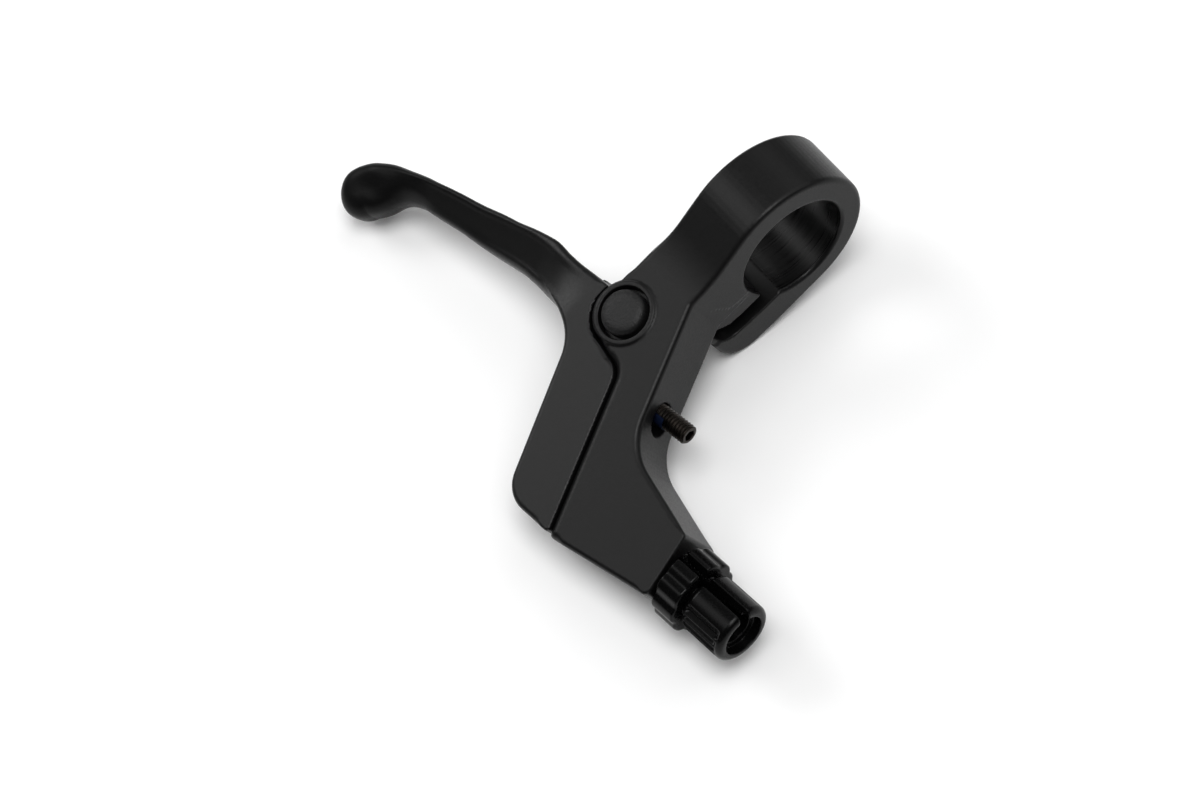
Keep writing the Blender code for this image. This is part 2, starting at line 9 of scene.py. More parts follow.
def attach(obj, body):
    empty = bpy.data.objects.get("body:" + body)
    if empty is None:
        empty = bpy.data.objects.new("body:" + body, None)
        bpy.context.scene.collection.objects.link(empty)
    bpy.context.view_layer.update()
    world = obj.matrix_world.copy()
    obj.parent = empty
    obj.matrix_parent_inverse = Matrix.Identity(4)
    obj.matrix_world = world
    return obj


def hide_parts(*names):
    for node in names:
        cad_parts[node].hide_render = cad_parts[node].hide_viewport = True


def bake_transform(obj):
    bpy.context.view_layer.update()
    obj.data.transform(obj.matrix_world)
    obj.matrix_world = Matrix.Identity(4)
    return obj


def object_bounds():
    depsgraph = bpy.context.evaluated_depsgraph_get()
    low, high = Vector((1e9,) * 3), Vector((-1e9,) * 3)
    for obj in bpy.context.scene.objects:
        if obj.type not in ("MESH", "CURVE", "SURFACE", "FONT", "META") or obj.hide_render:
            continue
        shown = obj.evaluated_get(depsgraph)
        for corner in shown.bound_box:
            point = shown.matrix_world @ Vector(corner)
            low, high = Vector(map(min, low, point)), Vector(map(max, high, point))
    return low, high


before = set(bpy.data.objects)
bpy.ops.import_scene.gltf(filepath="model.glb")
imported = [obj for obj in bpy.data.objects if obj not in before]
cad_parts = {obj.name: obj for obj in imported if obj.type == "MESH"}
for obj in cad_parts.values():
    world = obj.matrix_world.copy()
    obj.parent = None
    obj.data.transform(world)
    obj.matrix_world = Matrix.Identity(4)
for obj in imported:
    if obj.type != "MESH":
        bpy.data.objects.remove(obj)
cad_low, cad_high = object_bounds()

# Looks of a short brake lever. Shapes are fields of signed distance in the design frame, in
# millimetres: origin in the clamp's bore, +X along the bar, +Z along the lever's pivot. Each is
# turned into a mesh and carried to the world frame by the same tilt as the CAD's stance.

MM = 0.001
STANCE = radians(16.0)
TO_WORLD = Matrix.Rotation(STANCE, 4, "X") @ Matrix.Scale(MM, 4)

# The clamp: bar, ring and jaw.
BAR_RADIUS = 11.1
RING_RADIUS = 16.2
RING_RISE = 0.6
RING_OUTBOARD = -6.3
RING_INBOARD = 7.3
CLAMP_BOLT_Y = -15.6
CLAMP_SEAT_Z = -10.8
BOLT_HEAD_Z = CLAMP_SEAT_Z - 1.2
BOLT_SEAT_RADIUS = 4.4
BOLT_HOLE_RADIUS = 2.75

# The bracket's plate in plan, and the pivot in it.
PLATE_LOW, PLATE_HIGH = -1.3, 12.5
PIVOT = (-1.75, -29.65)
BOSS_RADIUS = 6.5
BOSS_END_ANGLE = 260.0
ARM_EDGE_X = -7.1
SPLIT_TOP = (5.5, -37.6)
SPLIT_FOOT = (19.2, -67.3)
END_LOW = (41.8, -60.9)
END_HIGH = (38.9, -48.4)
END_NORMAL = (0.974, 0.226)
NECK = (18.6, -45.2)
WALL_TOP = (7.0, -19.8)
BOSS_TOP_RADIUS = 6.15
BOSS_RISE = 0.35
HEAD_SEAT_RADIUS, HEAD_SEAT_Z = 5.1, 10.8
PIN_BORE_RADIUS = 3.1
SCREW_SEAT_RADIUS, SCREW_SEAT_Z = 3.9, 0.2
POCKET_RADIUS, POCKET_LOW, POCKET_HIGH = 7.7, 1.6, 8.6

# The lever's plate in plan, its eye, and the drum for the cable's nipple in its fork.
SPLIT_GAP = 0.22
EYE_CENTRE = (-1.55, -30.0)
EYE_RADIUS = 6.82
NOTCH_ANGLE = 167.0
LEVER_FOOT = (6.8, -68.3)
LEVER_THROAT = (-8.3, -37.6)
TONGUE_RADIUS, TONGUE_LOW, TONGUE_HIGH = 7.2, 2.7, 7.5
BUSH_BORE_RADIUS = 4.0
SPRING_WELL_RADIUS, SPRING_WELL_TOP = 5.8, 6.2
ANCHOR = (9.6, -58.6)
DRUM_BORE_RADIUS, DRUM_BORE_TOP = 3.95, 9.7
CLIP_GROOVE_RADIUS, CLIP_GROOVE_Z = 4.4, -0.5

# The cable's line, with the adjuster at its end.
CABLE_Z = 5.6
CABLE_ANGLE = 6.1
CHANNEL_WIDTH = 2.4
ADJUSTER_BASE = (41.3, -55.2)
ADJUSTER_HOLE_RADIUS, ADJUSTER_HOLE_DEPTH = 4.95, 14.0
SLOT_ANGLE = 146.0
SLOT_WIDTH = 2.1

# The screw that sets the lever's reach.
REACH_TIP = (22.0, -36.7)
REACH_ANGLE = 9.0
REACH_LENGTH = 15.6
REACH_HOLE_RADIUS, REACH_HOLE_DEPTH = 2.25, 20.0


# ------------------------------------------------------------------ 2-D outlines

def arc(centre, radius, start, end, step=4.0):
    count = max(1, round(abs(end - start) / step))
    angles = [radians(start + (end - start) * i / count) for i in range(count + 1)]
    return [(centre[0] + radius * cos(a), centre[1] + radius * sin(a)) for a in angles]


def rounded(corners, step=5.0):
    outline = []
    for i, (x, y, radius) in enumerate(corners):
        corner = Vector((x, y))
        if radius == 0:
            outline.append((x, y))
            continue
        before = (Vector(corners[i - 1][:2]) - corner).normalized()
        after = (Vector(corners[(i + 1) % len(corners)][:2]) - corner).normalized()
        half = before.angle(after) / 2
        centre = corner + (before + after).normalized() * (radius / sin(half))
        first = corner + before * (radius / tan(half)) - centre
        last = corner + after * (radius / tan(half)) - centre
        start = degrees(atan2(first.y, first.x))
        sweep = (degrees(atan2(last.y, last.x)) - start + 180) % 360 - 180
        outline += arc(centre, radius, start, start + sweep, step)
    return outline


def distance_to_polygon(points, outline):
    """Signed distance in the plane, negative inside."""
    best = np.full(len(points), 1e9)
    inside = np.zeros(len(points), bool)
    x, y = points.T
    for (ax, ay), (bx, by) in zip(outline, outline[1:] + outline[:1]):
        ex, ey = bx - ax, by - ay
        length = ex * ex + ey * ey
        if length < 1e-12:
            continue
        share = np.clip(((x - ax) * ex + (y - ay) * ey) / length, 0, 1)
        best = np.minimum(best, (x - ax - share * ex) ** 2 + (y - ay - share * ey) ** 2)
        crossing = (ay > y) != (by > y)
        if ay != by:
            inside ^= crossing & (x < ax + (y - ay) * ex / ey)
    return np.where(inside, -1, 1) * np.sqrt(best)


class Plan:
    """A function of two coordinates, kept on a fine grid and read by interpolation."""

    STEP = 0.2

    def __init__(self, function, low, high):
        self.low = np.array(low, float)
        self.size = np.ceil((np.array(high) - self.low) / self.STEP).astype(int) + 1
        axes = [self.low[i] + self.STEP * np.arange(self.size[i]) for i in (0, 1)]
        u, v = np.meshgrid(*axes, indexing="ij")
        values = function(np.stack([u.ravel(), v.ravel()], 1))
        self.values = np.asarray(values).reshape(*u.shape, -1)

    def __call__(self, u, v):
        s = np.clip((u - self.low[0]) / self.STEP, 0, self.size[0] - 1.001)
        t = np.clip((v - self.low[1]) / self.STEP, 0, self.size[1] - 1.001)
        i, j = s.astype(int), t.astype(int)
        s, t = (s - i)[..., None], (t - j)[..., None]
        grid = self.values
        near = grid[i, j] * (1 - s) + grid[i + 1, j] * s
        far = grid[i, j + 1] * (1 - s) + grid[i + 1, j + 1] * s
        mixed = near * (1 - t) + far * t
        return mixed[..., 0] if mixed.shape[-1] == 1 else mixed


def outline_plan(outline, margin=4.0):
    points = np.array(outline)
    low, high = points.min(0) - margin, points.max(0) + margin
    return Plan(lambda p: distance_to_polygon(p, outline), low, high)


# ------------------------------------------------------------------ 3-D fields

# Each takes distances that are negative inside, and soft is the size of the fillet.

def join(a, b, soft):
    """Either solid."""
    share = np.clip(0.5 + 0.5 * (b - a) / soft, 0, 1)
    return b * (1 - share) + a * share - soft * share * (1 - share)


def cut(a, b, soft):
    """The first solid without the second."""
    return -join(-a, b, soft)


def both(a, b, soft):
    """Where the two solids overlap."""
    return -join(-a, -b, soft)


def thick(flat, height, low, high, edge):
    """A plane distance made into a plate from low to high, with both rims rounded by edge."""
    side = flat + edge
    up = np.abs(height - (low + high) / 2) - (high - low) / 2 + edge
    outer = np.hypot(np.maximum(side, 0), np.maximum(up, 0))
    return np.minimum(np.maximum(side, up), 0) + outer - edge


def smoothstep(x, a, b):
    t = np.clip((x - a) / (b - a), 0, 1)
    return t * t * (3 - 2 * t)


def bell(x, centre, spread):
    """One at the centre, falling away on both sides."""
    return np.exp(-((x - centre) / spread) ** 2)


def away_from(x, y, centre):
    """Distance in plan from a centre."""
    return np.hypot(x - centre[0], y - centre[1])


def on_axis(x, y, base, angle):
    """Distances along and across a line in plan that leaves base at an angle in degrees."""
    c, s = cos(radians(angle)), sin(radians(angle))
    x, y = x - base[0], y - base[1]
    return x * c + y * s, y * c - x * s


def gradient(field, points):
    h = 0.02
    out = np.empty_like(points)
    for i in range(3):
        step = np.zeros(3)
        step[i] = h
        out[:, i] = (field(*(points + step).T) - field(*(points - step).T)) / (2 * h)
    return out


def polygonise(field, low, high, step):
    """Vertices, quads and normals of the field's zero surface."""
    low = np.array(low, float)
    counts = np.ceil((np.array(high) - low) / step).astype(int) + 1
    values = np.empty(counts, np.float32)
    y, z = [low[i] + step * np.arange(counts[i]) for i in (1, 2)]
    y, z = np.meshgrid(y, z, indexing="ij")
    for i in range(counts[0]):
        values[i] = field(np.full_like(y, low[0] + step * i), y, z)
    cells = counts - 1
    total = np.zeros((int(np.prod(cells)), 3))
    number = np.zeros(int(np.prod(cells)))
    quads = []
    for axis in range(3):
        other = [(axis + 1) % 3, (axis + 2) % 3]
        first = [slice(None)] * 3
        second = [slice(None)] * 3
        first[axis], second[axis] = slice(None, -1), slice(1, None)
        a, b = values[tuple(first)], values[tuple(second)]
        at = np.argwhere((a < 0) != (b < 0))
        va, vb = a[tuple(at.T)], b[tuple(at.T)]
        point = at.astype(float)
        point[:, axis] += va / (va - vb)
        around = []
        for du, dv in ((-1, -1), (0, -1), (0, 0), (-1, 0)):
            cell = at.copy()
            cell[:, other[0]] += du
            cell[:, other[1]] += dv
            flat = np.ravel_multi_index(tuple(np.clip(cell, 0, cells - 1).T), tuple(cells))
            np.add.at(total, flat, point)
            np.add.at(number, flat, 1)
            around.append(flat)
        face = np.stack(around, 1)
        quads.append(np.where((va < 0)[:, None], face, face[:, ::-1]))
    quads = np.concatenate(quads)
    used = np.flatnonzero(number)
    index = np.full(len(number), -1)
    index[used] = np.arange(len(used))
    points = total[used] / number[used, None] * step + low
    for _ in range(4):
        slope = gradient(field, points)
        size = np.maximum((slope ** 2).sum(1, keepdims=True), 0.05)
        move = slope * (field(*points.T)[:, None] / size)
        length = np.linalg.norm(move, axis=1, keepdims=True)
        points -= move * np.minimum(1, 0.3 * step / np.maximum(length, 1e-9))
    normals = gradient(field, points)
    normals /= np.maximum(np.linalg.norm(normals, axis=1, keepdims=True), 1e-9)
    return points, index[quads], normals


def mesh_piece(name, points, faces, normals=None, place=None, smooth_angle=None):
    """A piece from design millimetres, placed in the world frame. It is shaded by its own
    normals where they are given, or else smoothly up to an angle."""
    matrix = TO_WORLD @ (place or Matrix())
    m = np.array(matrix)
    world = np.asarray(points) @ m[:3, :3].T + m[:3, 3]
    mesh = bpy.data.meshes.new(name)
    mesh.from_pydata(world.tolist(), [], faces)
    mesh.update()
    mesh.shade_smooth()
    if normals is not None:
        turned = np.asarray(normals) @ np.array(matrix.to_3x3().normalized()).T
        mesh.normals_split_custom_set_from_vertices(turned.tolist())
    elif smooth_angle:
        mesh.set_sharp_from_angle(angle=radians(smooth_angle))
    piece = bpy.data.objects.new(name, mesh)
    bpy.context.collection.objects.link(piece)
    return piece


def sculpt(name, field, low, high, step, place=None):
    points, faces, normals = polygonise(field, low, high, step)
    return mesh_piece(name, points, faces.tolist(), normals, place)


def lathe(name, profile, place, segments=96, smooth_angle=35):
    """Turn a closed profile of (radius, height), with radius 0 on the axis."""
    points, rings = [], []
    for radius, height in profile:
        if radius == 0:
            rings.append([len(points)] * segments)
            points.append((0, 0, height))
            continue
        rings.append(list(range(len(points), len(points) + segments)))
        turns = [2 * pi * i / segments for i in range(segments)]
        points += [(radius * cos(turn), radius * sin(turn), height) for turn in turns]
    faces = []
    for lower, upper in zip(rings, rings[1:] + rings[:1]):
        for i in range(segments):
            j = (i + 1) % segments
            face = list(dict.fromkeys([lower[i], lower[j], upper[j], upper[i]]))
            if len(face) > 2:
                faces.append(face)
    piece = mesh_piece(name, points, faces, place=place)
    work = bmesh.new()
    work.from_mesh(piece.data)
    bmesh.ops.recalc_face_normals(work, faces=work.faces)
    work.to_mesh(piece.data)
    work.free()
    piece.data.set_sharp_from_angle(angle=radians(smooth_angle))
    return piece


# ------------------------------------------------------------------ the bracket

def plate_outline():
    """The plate from above. Its last two corners lie inside the ring."""
    leave = degrees(acos((ARM_EDGE_X - PIVOT[0]) / BOSS_RADIUS))
    boss = arc(PIVOT, BOSS_RADIUS, leave, BOSS_END_ANGLE)
    rest = rounded([
        (*boss[-1], 0), (*SPLIT_TOP, 4.0), (*SPLIT_FOOT, 1.0), (*END_LOW, 1.2), (*END_HIGH, 0.8),
        (*NECK, 11.0), (*WALL_TOP, 1.5), (WALL_TOP[0], -12.0, 0), (ARM_EDGE_X, -12.0, 0),
    ])
    return boss + rest[1:]


def clamp_outline():
    """The ring with its arm and jaw, seen along the bar: first coordinate y, second z."""
    top = PLATE_HIGH - 0.04
    jaw = rounded([
        (-23.9, -0.9, 0), (-23.9, 11.7, 0), (-22.6, top, 3.0), (-16.3, top, 36.0),
        (-4.65, 16.12, 0),
    ], step=0.5)
    outside = arc((0.0, RING_RISE), RING_RADIUS, 106.0, -90.0)
    nose = arc((-17.5, -9.4), 6.1, -90.0, -180.0)
    return jaw[1:] + outside + nose + [(-23.6, -2.2), (-23.9, -2.0), (-23.9, -0.9)]


def slit_outline():
    """The gap under the arm that lets the jaw close, seen along the bar."""
    return rounded([
        (-7.5, -4.0, 0), (-18.4, -4.2, 3.5), (-22.0, -1.0, 1.0), (-24.6, -1.3, 0), (-24.6, -2.2, 0),
        (-22.6, -2.2, 0.4), (-21.5, -7.8, 4.0), (-7.5, -8.2, 0),
    ])


def past_split(x, y):
    """Distance from the line of the split, positive on the lever's side."""
    top, foot = Vector(SPLIT_TOP), Vector(SPLIT_FOOT)
    split = (foot - top).normalized()
    return (x - top.x) * split.y - (y - top.y) * split.x


def bracket_blank(plate, clamp, x, y, z):
    """The plate and the ring before any hole. The plate's rim is round beside the split, less
    so at the adjuster's end, and nearly sharp round the outer side of the boss."""
    by_split = smoothstep(-np.abs(past_split(x, y)), -3.5, -1.5)
    past_end = (x - END_LOW[0]) * END_NORMAL[0] + (y - END_LOW[1]) * END_NORMAL[1]
    by_end = smoothstep(past_end, -3.0, -1.0)
    by_boss = smoothstep(BOSS_RADIUS - away_from(x, y, PIVOT), -2.5, -0.5)
    edge = 1.0 + 0.6 * by_split - 0.5 * by_end - 0.7 * by_boss * smoothstep(-x, 1.0, 4.0)
    body = thick(plate(x, y) - 0.06, z, PLATE_LOW, PLATE_HIGH, edge)

    step = 0.6 + 4.2 * bell(y, -18.4, 1.7)
    ledge = smoothstep(step - z, -0.8, 0.8) * smoothstep(-y, 9.8, 11.0)
    ledge = ledge * smoothstep(z, -6.2, -5.2)
    narrowing = 1 - smoothstep(y, -22.0, -11.0)
    inboard = (RING_INBOARD - WALL_TOP[0]) * narrowing + 0.35 * ledge
    outboard = (RING_OUTBOARD - ARM_EDGE_X) * narrowing
    shift = np.where(x > 0, inboard, outboard)
    ring = thick(clamp(y, z), x + shift, RING_OUTBOARD, RING_INBOARD, 0.9)
    boss = away_from(x, y, PIVOT) - BOSS_TOP_RADIUS
    boss = thick(boss, z, 8.0, PLATE_HIGH + BOSS_RISE, 0.3)
    return join(np.minimum(body, ring), boss, 0.5)


def bracket_field():
    plate = outline_plan(plate_outline())
    clamp = outline_plan(clamp_outline())
    slit = outline_plan(slit_outline())

    def field(x, y, z):
        body = bracket_blank(plate, clamp, x, y, z)
        rim = smoothstep(np.abs(x - 0.5), 6.1, 6.9)
        body = cut(body, np.hypot(y, z) - BAR_RADIUS - 0.45 * rim, 0.25)
        body = cut(body, thick(slit(y, z), x, -9, 9, 0.1), 0.3)

        # The pivot: the pin head's seat, the pocket for the lever's tongue, the pin's bore, and
        # the screw's seat on the underside.
        away = away_from(x, y, PIVOT)
        pocket = thick(away - POCKET_RADIUS, z, POCKET_LOW, POCKET_HIGH, 0.2)
        body = cut(body, np.maximum(away - HEAD_SEAT_RADIUS, HEAD_SEAT_Z - z), 0.3)
        body = cut(body, pocket, 0.2)
        body = cut(body, away - PIN_BORE_RADIUS, 0.1)
        body = cut(body, np.maximum(away - SCREW_SEAT_RADIUS, z - SCREW_SEAT_Z), 0.2)

        # The clamp bolt: its head's seat and its hole.
        away = away_from(x, y, (0, CLAMP_BOLT_Y))
        body = cut(body, np.maximum(away - BOLT_SEAT_RADIUS, z - CLAMP_SEAT_Z), 0.3)
        body = cut(body, thick(away - BOLT_HOLE_RADIUS, z, -18, 6, 0.2), 0.2)

        # The reach screw's hole, which widens at its mouth.
        along, across = on_axis(x, y, REACH_TIP, REACH_ANGLE)
        mouth = smoothstep(along, -10.6, -8.4)
        hole = np.hypot(across + 0.95 * mouth, z - CABLE_Z) - REACH_HOLE_RADIUS - 0.9 * mouth
        body = cut(body, np.maximum(hole, -REACH_HOLE_DEPTH - along), 0.2)

        # The adjuster's tapped hole, and the slot that lets the cable in from the side.
        along, across = on_axis(x, y, ADJUSTER_BASE, CABLE_ANGLE)
        tapped = np.hypot(across, z - CABLE_Z) - ADJUSTER_HOLE_RADIUS
        body = cut(body, np.maximum(tapped, -ADJUSTER_HOLE_DEPTH - along), 0.3)
        slot = np.maximum(np.abs(z - CABLE_Z) - CHANNEL_WIDTH / 2, across - CHANNEL_WIDTH / 2)
        return cut(body, np.maximum(slot, 8.0 - x), 0.3)

    return field


# ------------------------------------------------------------------ the lever

def split_offset():
    """The lever's side of the split: the two ends of its long straight edge."""
    top, foot = Vector(SPLIT_TOP), Vector(SPLIT_FOOT)
    start = Vector(arc(PIVOT, BOSS_RADIUS, BOSS_END_ANGLE, BOSS_END_ANGLE + 1)[0])
    first, second = (top - start).normalized(), (foot - top).normalized()
    normals = Vector((first.y, -first.x)), Vector((second.y, -second.x))
    corner = top + (normals[0] + normals[1]) * (SPLIT_GAP / (1 + normals[0].dot(normals[1])))
    return corner, foot + normals[1] * SPLIT_GAP


def lever_outline():
    """The lever's plate from above, which runs on under the root of the blade."""
    corner, foot = split_offset()
    inner = arc(EYE_CENTRE, EYE_RADIUS, NOTCH_ANGLE, 258.0)
    rest = rounded([
        (*inner[-1], 0), (*corner, 4.4), (foot.x - 0.2, foot.y + 0.5, 0.8), (*LEVER_FOOT, 6.3),
        (*LEVER_THROAT, 10.0), (-18.0, -38.6, 8.0), (-30.0, -39.8, 0), (-30.0, -31.8, 0),
        (-18.0, -29.6, 8.0), (-11.3, -28.8, 4.0), (*inner[0], 0),
    ])
    return inner + rest[1:-1]


BLADE_DROP = 1.9
BLADE = [  # centre x, y, z, half width, half height
    (-10.5, -33.9, 5.6, 5.3, 7.0),
    (-18.0, -34.1, 5.6, 4.5, 6.9),
    (-26.0, -34.9, 5.4, 4.3, 6.4),
    (-33.0, -36.75, 5.0, 4.0, 5.7),
    (-40.0, -38.95, 4.4, 3.6, 5.2),
    (-46.7, -40.7, 3.9, 3.35, 5.0),
    (-52.0, -42.2, 3.5, 3.15, 4.9),
    (-55.6, -43.2, 3.2, 3.15, 4.9),
    (-59.0, -44.7, 2.9, 3.5, 5.0),
    (-62.3, -46.8, 2.7, 4.3, 5.2),
    (-64.8, -49.2, 2.5, 4.8, 5.4),
    (-66.8, -51.4, 2.4, 4.85, 5.3),
    (-67.5, -52.6, 2.4, 4.85, 5.3),
]


def smooth_line(stations, steps=8):
    """The stations joined by a smooth curve through them, steps points to each span."""
    padded = [stations[0]] + stations + [stations[-1]]
    dense = []
    for span in zip(padded, padded[1:], padded[2:], padded[3:]):
        for i in range(steps):
            t = i / steps
            dense.append([
                0.5 * (2 * b + (c - a) * t + (2 * a - 5 * b + 4 * c - d) * t * t
                       + (3 * b - a - 3 * c + d) * t ** 3)
                for a, b, c, d in zip(*span)
            ])
    return np.array(dense + [list(stations[-1])])


def blade_plan():
    """For each place in plan: distance from the blade's line, the signed distance to its side,
    the line's z, half width and half height there, and the length run from the root."""
    line = smooth_line(BLADE)
    run = np.concatenate([[0], np.cumsum(np.hypot(*np.diff(line[:, :2], axis=0).T))])

    def measure(points):
        best = np.full(len(points), 1e9)
        out = np.zeros((len(points), 6))
        for k in range(len(line) - 1):
            a, b = line[k], line[k + 1]
            e = b[:2] - a[:2]
            share = np.clip((points - a[:2]) @ e / (e @ e), 0, 1)
            off = points - a[:2] - share[:, None] * e
            gap = np.hypot(*off.T)
            side = e[0] * off[:, 1] - e[1] * off[:, 0]
            row = a + share[:, None] * (b - a)
            near = gap < best
            best[near] = gap[near]
            length = run[k] + share * (run[k + 1] - run[k])
            data = np.stack([gap, -side / np.hypot(*e), *row[:, 2:].T, length], 1)
            out[near] = data[near]
        return out

    return Plan(measure, (-80, -64), (-4, -20))


def blade_body(blade, x, y, z):
    """The finger blade: a bar whose top slopes to the back, with a lip along its front edge, and
    which ends in a round bulb with a shallow dish on top."""
    gap, side, middle, wide, high, run = np.moveaxis(blade(x, y), -1, 0)
    up = z - middle
    share = np.clip(side / wide, -1.1, 1.1)
    back = smoothstep(share, -0.6, 0.6)
    front = 1 - back
    bulb = smoothstep(run, 51.0, 60.0)

    waist = 0.35 * bell(run, 21.0, 4.5) - 0.45 * bell(run, 11.5, 3.0)
    inset = waist + 0.3 - 0.3 * smoothstep(run, 4.0, 8.0) - 0.15 * bulb
    slim = (0.4 * smoothstep(run, 24.0, 36.0) - 1.2 * bulb) * front
    lean = 0.13 * (high - up) * back
    across = gap - wide + inset * back + slim + lean

    slope = BLADE_DROP * (0.75 - share) * smoothstep(-share, -0.95, -0.45)
    lip = 0.35 * bell(share, -0.85, 0.25)
    beyond = np.maximum(-46.0 - y, 0)
    fall = 0.26 * beyond ** 2 / (beyond + 2.0)
    dish = 0.6 * bell(x, -64.1, 3.2) * bell(y, -50.3, 2.4)
    over = up - high + (1 - bulb) * (slope - lip) + bulb * fall + dish

    under = 0.12 * (high - up) * smoothstep(run, 42.0, 54.0) * front
    rounding = 1.6 - 0.7 * back + 2.6 * smoothstep(run, 40.0, 54.0)
    return both(both(across + under, over, rounding), -up - high, 3.0)


def lever_field():
    plate = outline_plan(lever_outline(), 6.0)
    blade = blade_plan()

    def field(x, y, z):
        away = away_from(x, y, PIVOT)
        near = np.minimum(np.abs(past_split(x, y)), np.abs(away - BOSS_RADIUS) + 1.0)
        edge = 0.28 + 0.77 * smoothstep(near, 1.2, 4.0)
        body = thick(plate(x, y) - 0.08, z, PLATE_LOW, PLATE_HIGH, edge)
        morph = smoothstep(-x, 10.0, 24.0)
        body = body * (1 - morph) + blade_body(blade, x, y, z) * morph

        # The notch round the boss, and the tongue in the bracket's pocket with its web.
        notch = np.where(x > -8.8, EYE_RADIUS - away_from(x, y, EYE_CENTRE), -9.0)
        body = np.maximum(body, notch)
        tongue = thick(away - TONGUE_RADIUS, z, TONGUE_LOW, TONGUE_HIGH, 0.25)
        angle = np.degrees(np.arctan2(y - PIVOT[1], x - PIVOT[0])) % 360
        web = np.maximum(np.abs(angle - 212.0) - 38.0, away - 11.0)
        web = np.maximum(web, np.abs(z - 5.1) - 2.4)
        body = join(body, np.minimum(tongue, web), 0.2)
        body = cut(body, np.maximum(away - SPRING_WELL_RADIUS, z - SPRING_WELL_TOP), 0.2)
        body = cut(body, away - BUSH_BORE_RADIUS, 0.1)

        # The fork: the drum's bore, its clip's groove, and the cable's channel.
        drum = away_from(x, y, ANCHOR)
        groove = np.maximum(drum - CLIP_GROOVE_RADIUS, np.abs(z - CLIP_GROOVE_Z) - 0.5)
        body = cut(body, np.maximum(drum - DRUM_BORE_RADIUS, z - DRUM_BORE_TOP), 0.25)
        body = cut(body, groove, 0.1)
        rise = tan(radians(CABLE_ANGLE)) * (x - ADJUSTER_BASE[0])
        side = np.maximum(y - ADJUSTER_BASE[1] - rise - 2.2, 7.0 - x)
        channel = np.maximum(np.abs(z - CABLE_Z) - CHANNEL_WIDTH / 2, side)
        return cut(body, channel, 0.3)

    return field


# ------------------------------------------------------------------ small pieces

# Each is made about its own Z and carried to its place in the design frame.

PIVOT_PLACE = Matrix.Translation((*PIVOT, 0))
BOLT_PLACE = Matrix.Translation((0, CLAMP_BOLT_Y, 0))


def lying_place(base, angle):
    """Lays a piece's Z along a line in the cable's plane."""
    turn = Matrix.Rotation(radians(angle), 4, "Z") @ Matrix.Rotation(radians(90), 4, "Y")
    return Matrix.Translation((*base, CABLE_Z)) @ turn


def thread(radius, away, angle, along, pitch, depth):
    """A right-handed thread's surface, cut into a rod of the given radius."""
    phase = (along / pitch - angle / (2 * pi)) % 1.0
    return away - radius + depth * np.clip(np.abs(phase - 0.5) * 2.6 - 0.15, 0, 1)


def slotted(body, x, y):
    """Opened on one side by the slot that the cable drops in through."""
    along, across = on_axis(x, y, (0, 0), SLOT_ANGLE)
    return cut(body, np.maximum(np.abs(across) - SLOT_WIDTH / 2, -along), 0.25)


def barrel_field():
    """The adjuster: a head with two bands of ribs, and a threaded shank."""
    low, high, radius = 6.1, 16.5, 6.0

    def field(x, y, z):
        away, angle = np.hypot(x, y), np.arctan2(y, x)
        turned = np.abs((angle - radians(SLOT_ANGLE) + pi) % (2 * pi) - pi)
        ribbed = smoothstep(turned, 0.95, 1.05) * smoothstep(-turned, -2.2, -2.1)
        groove = bell(turned, 0.98, 0.07)
        plain = smoothstep(z, low + 0.3, low + 1.2) * smoothstep(-z, -high + 1.0, -high + 2.2)
        flutes = (0.4 * ribbed * (1 + np.cos(angle * 24)) + 0.5 * groove) * plain
        head = thick(away - radius + flutes, z, low, high, 1.2)
        shank = thick(thread(4.6, away, angle, z, 1.0, 0.5), z, -11.0, 8.0, 0.2)
        body = join(head, shank, 0.2)
        mouth = 3.1 + 1.1 * smoothstep(z, high - 2.2, high - 1.8)
        body = cut(body, np.maximum(away - mouth, high - 6.5 - z), 0.2)
        body = cut(body, away - 1.2, 0.1)
        return slotted(body, x, y)

    return field


def ring_field():
    """The lock ring, with ten flutes."""
    radius, bore, height = 7.5, 4.9, 5.6

    def field(x, y, z):
        away, angle = np.hypot(x, y), np.arctan2(y, x)
        flute = 0.5 * (1 + np.cos(angle * 10)) ** 2 / 4
        body = thick(away - radius + 0.9 * flute, z, 0.0, height, 0.5)
        body = cut(body, away - bore, 0.2)
        return slotted(body, x, y)

    return field


def hexagon(x, y, flats):
    """A socket's distance, from its width across the flats."""
    best = np.full_like(x, -1e9)
    for k in range(6):
        best = np.maximum(best, x * cos(pi / 3 * k) + y * sin(pi / 3 * k) - flats / 2)
    return best


def reach_field():
    """A grub screw with both ends bevelled and a hexagon socket."""

    def field(x, y, z):
        away, angle = np.hypot(x, y), np.arctan2(y, x)
        body = thick(thread(1.98, away, angle, z, 0.7, 0.36), z, -REACH_LENGTH, 0.0, 0.12)
        body = both(body, away + 0.9 * z - 1.75, 0.15)
        body = both(body, away - 0.9 * (z + REACH_LENGTH) - 1.3, 0.15)
        return cut(body, np.maximum(hexagon(x, y, 2.0), -2.2 - z), 0.1)

    return field


def head_profile():
    """The pin: a low domed head with a round rim, and a hollow shank."""
    top, rim, bend = 14.0, 4.45, 1.15
    dome = [(0, top), (1.5, top), (2.8, top - 0.04), (3.3, top - 0.1)]
    edge = arc((rim - bend, top - 1.3), bend, 80, 0, step=8)
    return dome + edge + [(rim, 11.15), (2.8, 11.1), (2.8, 0.9), (1.9, 0.9), (1.9, 9.2), (0, 10.0)]


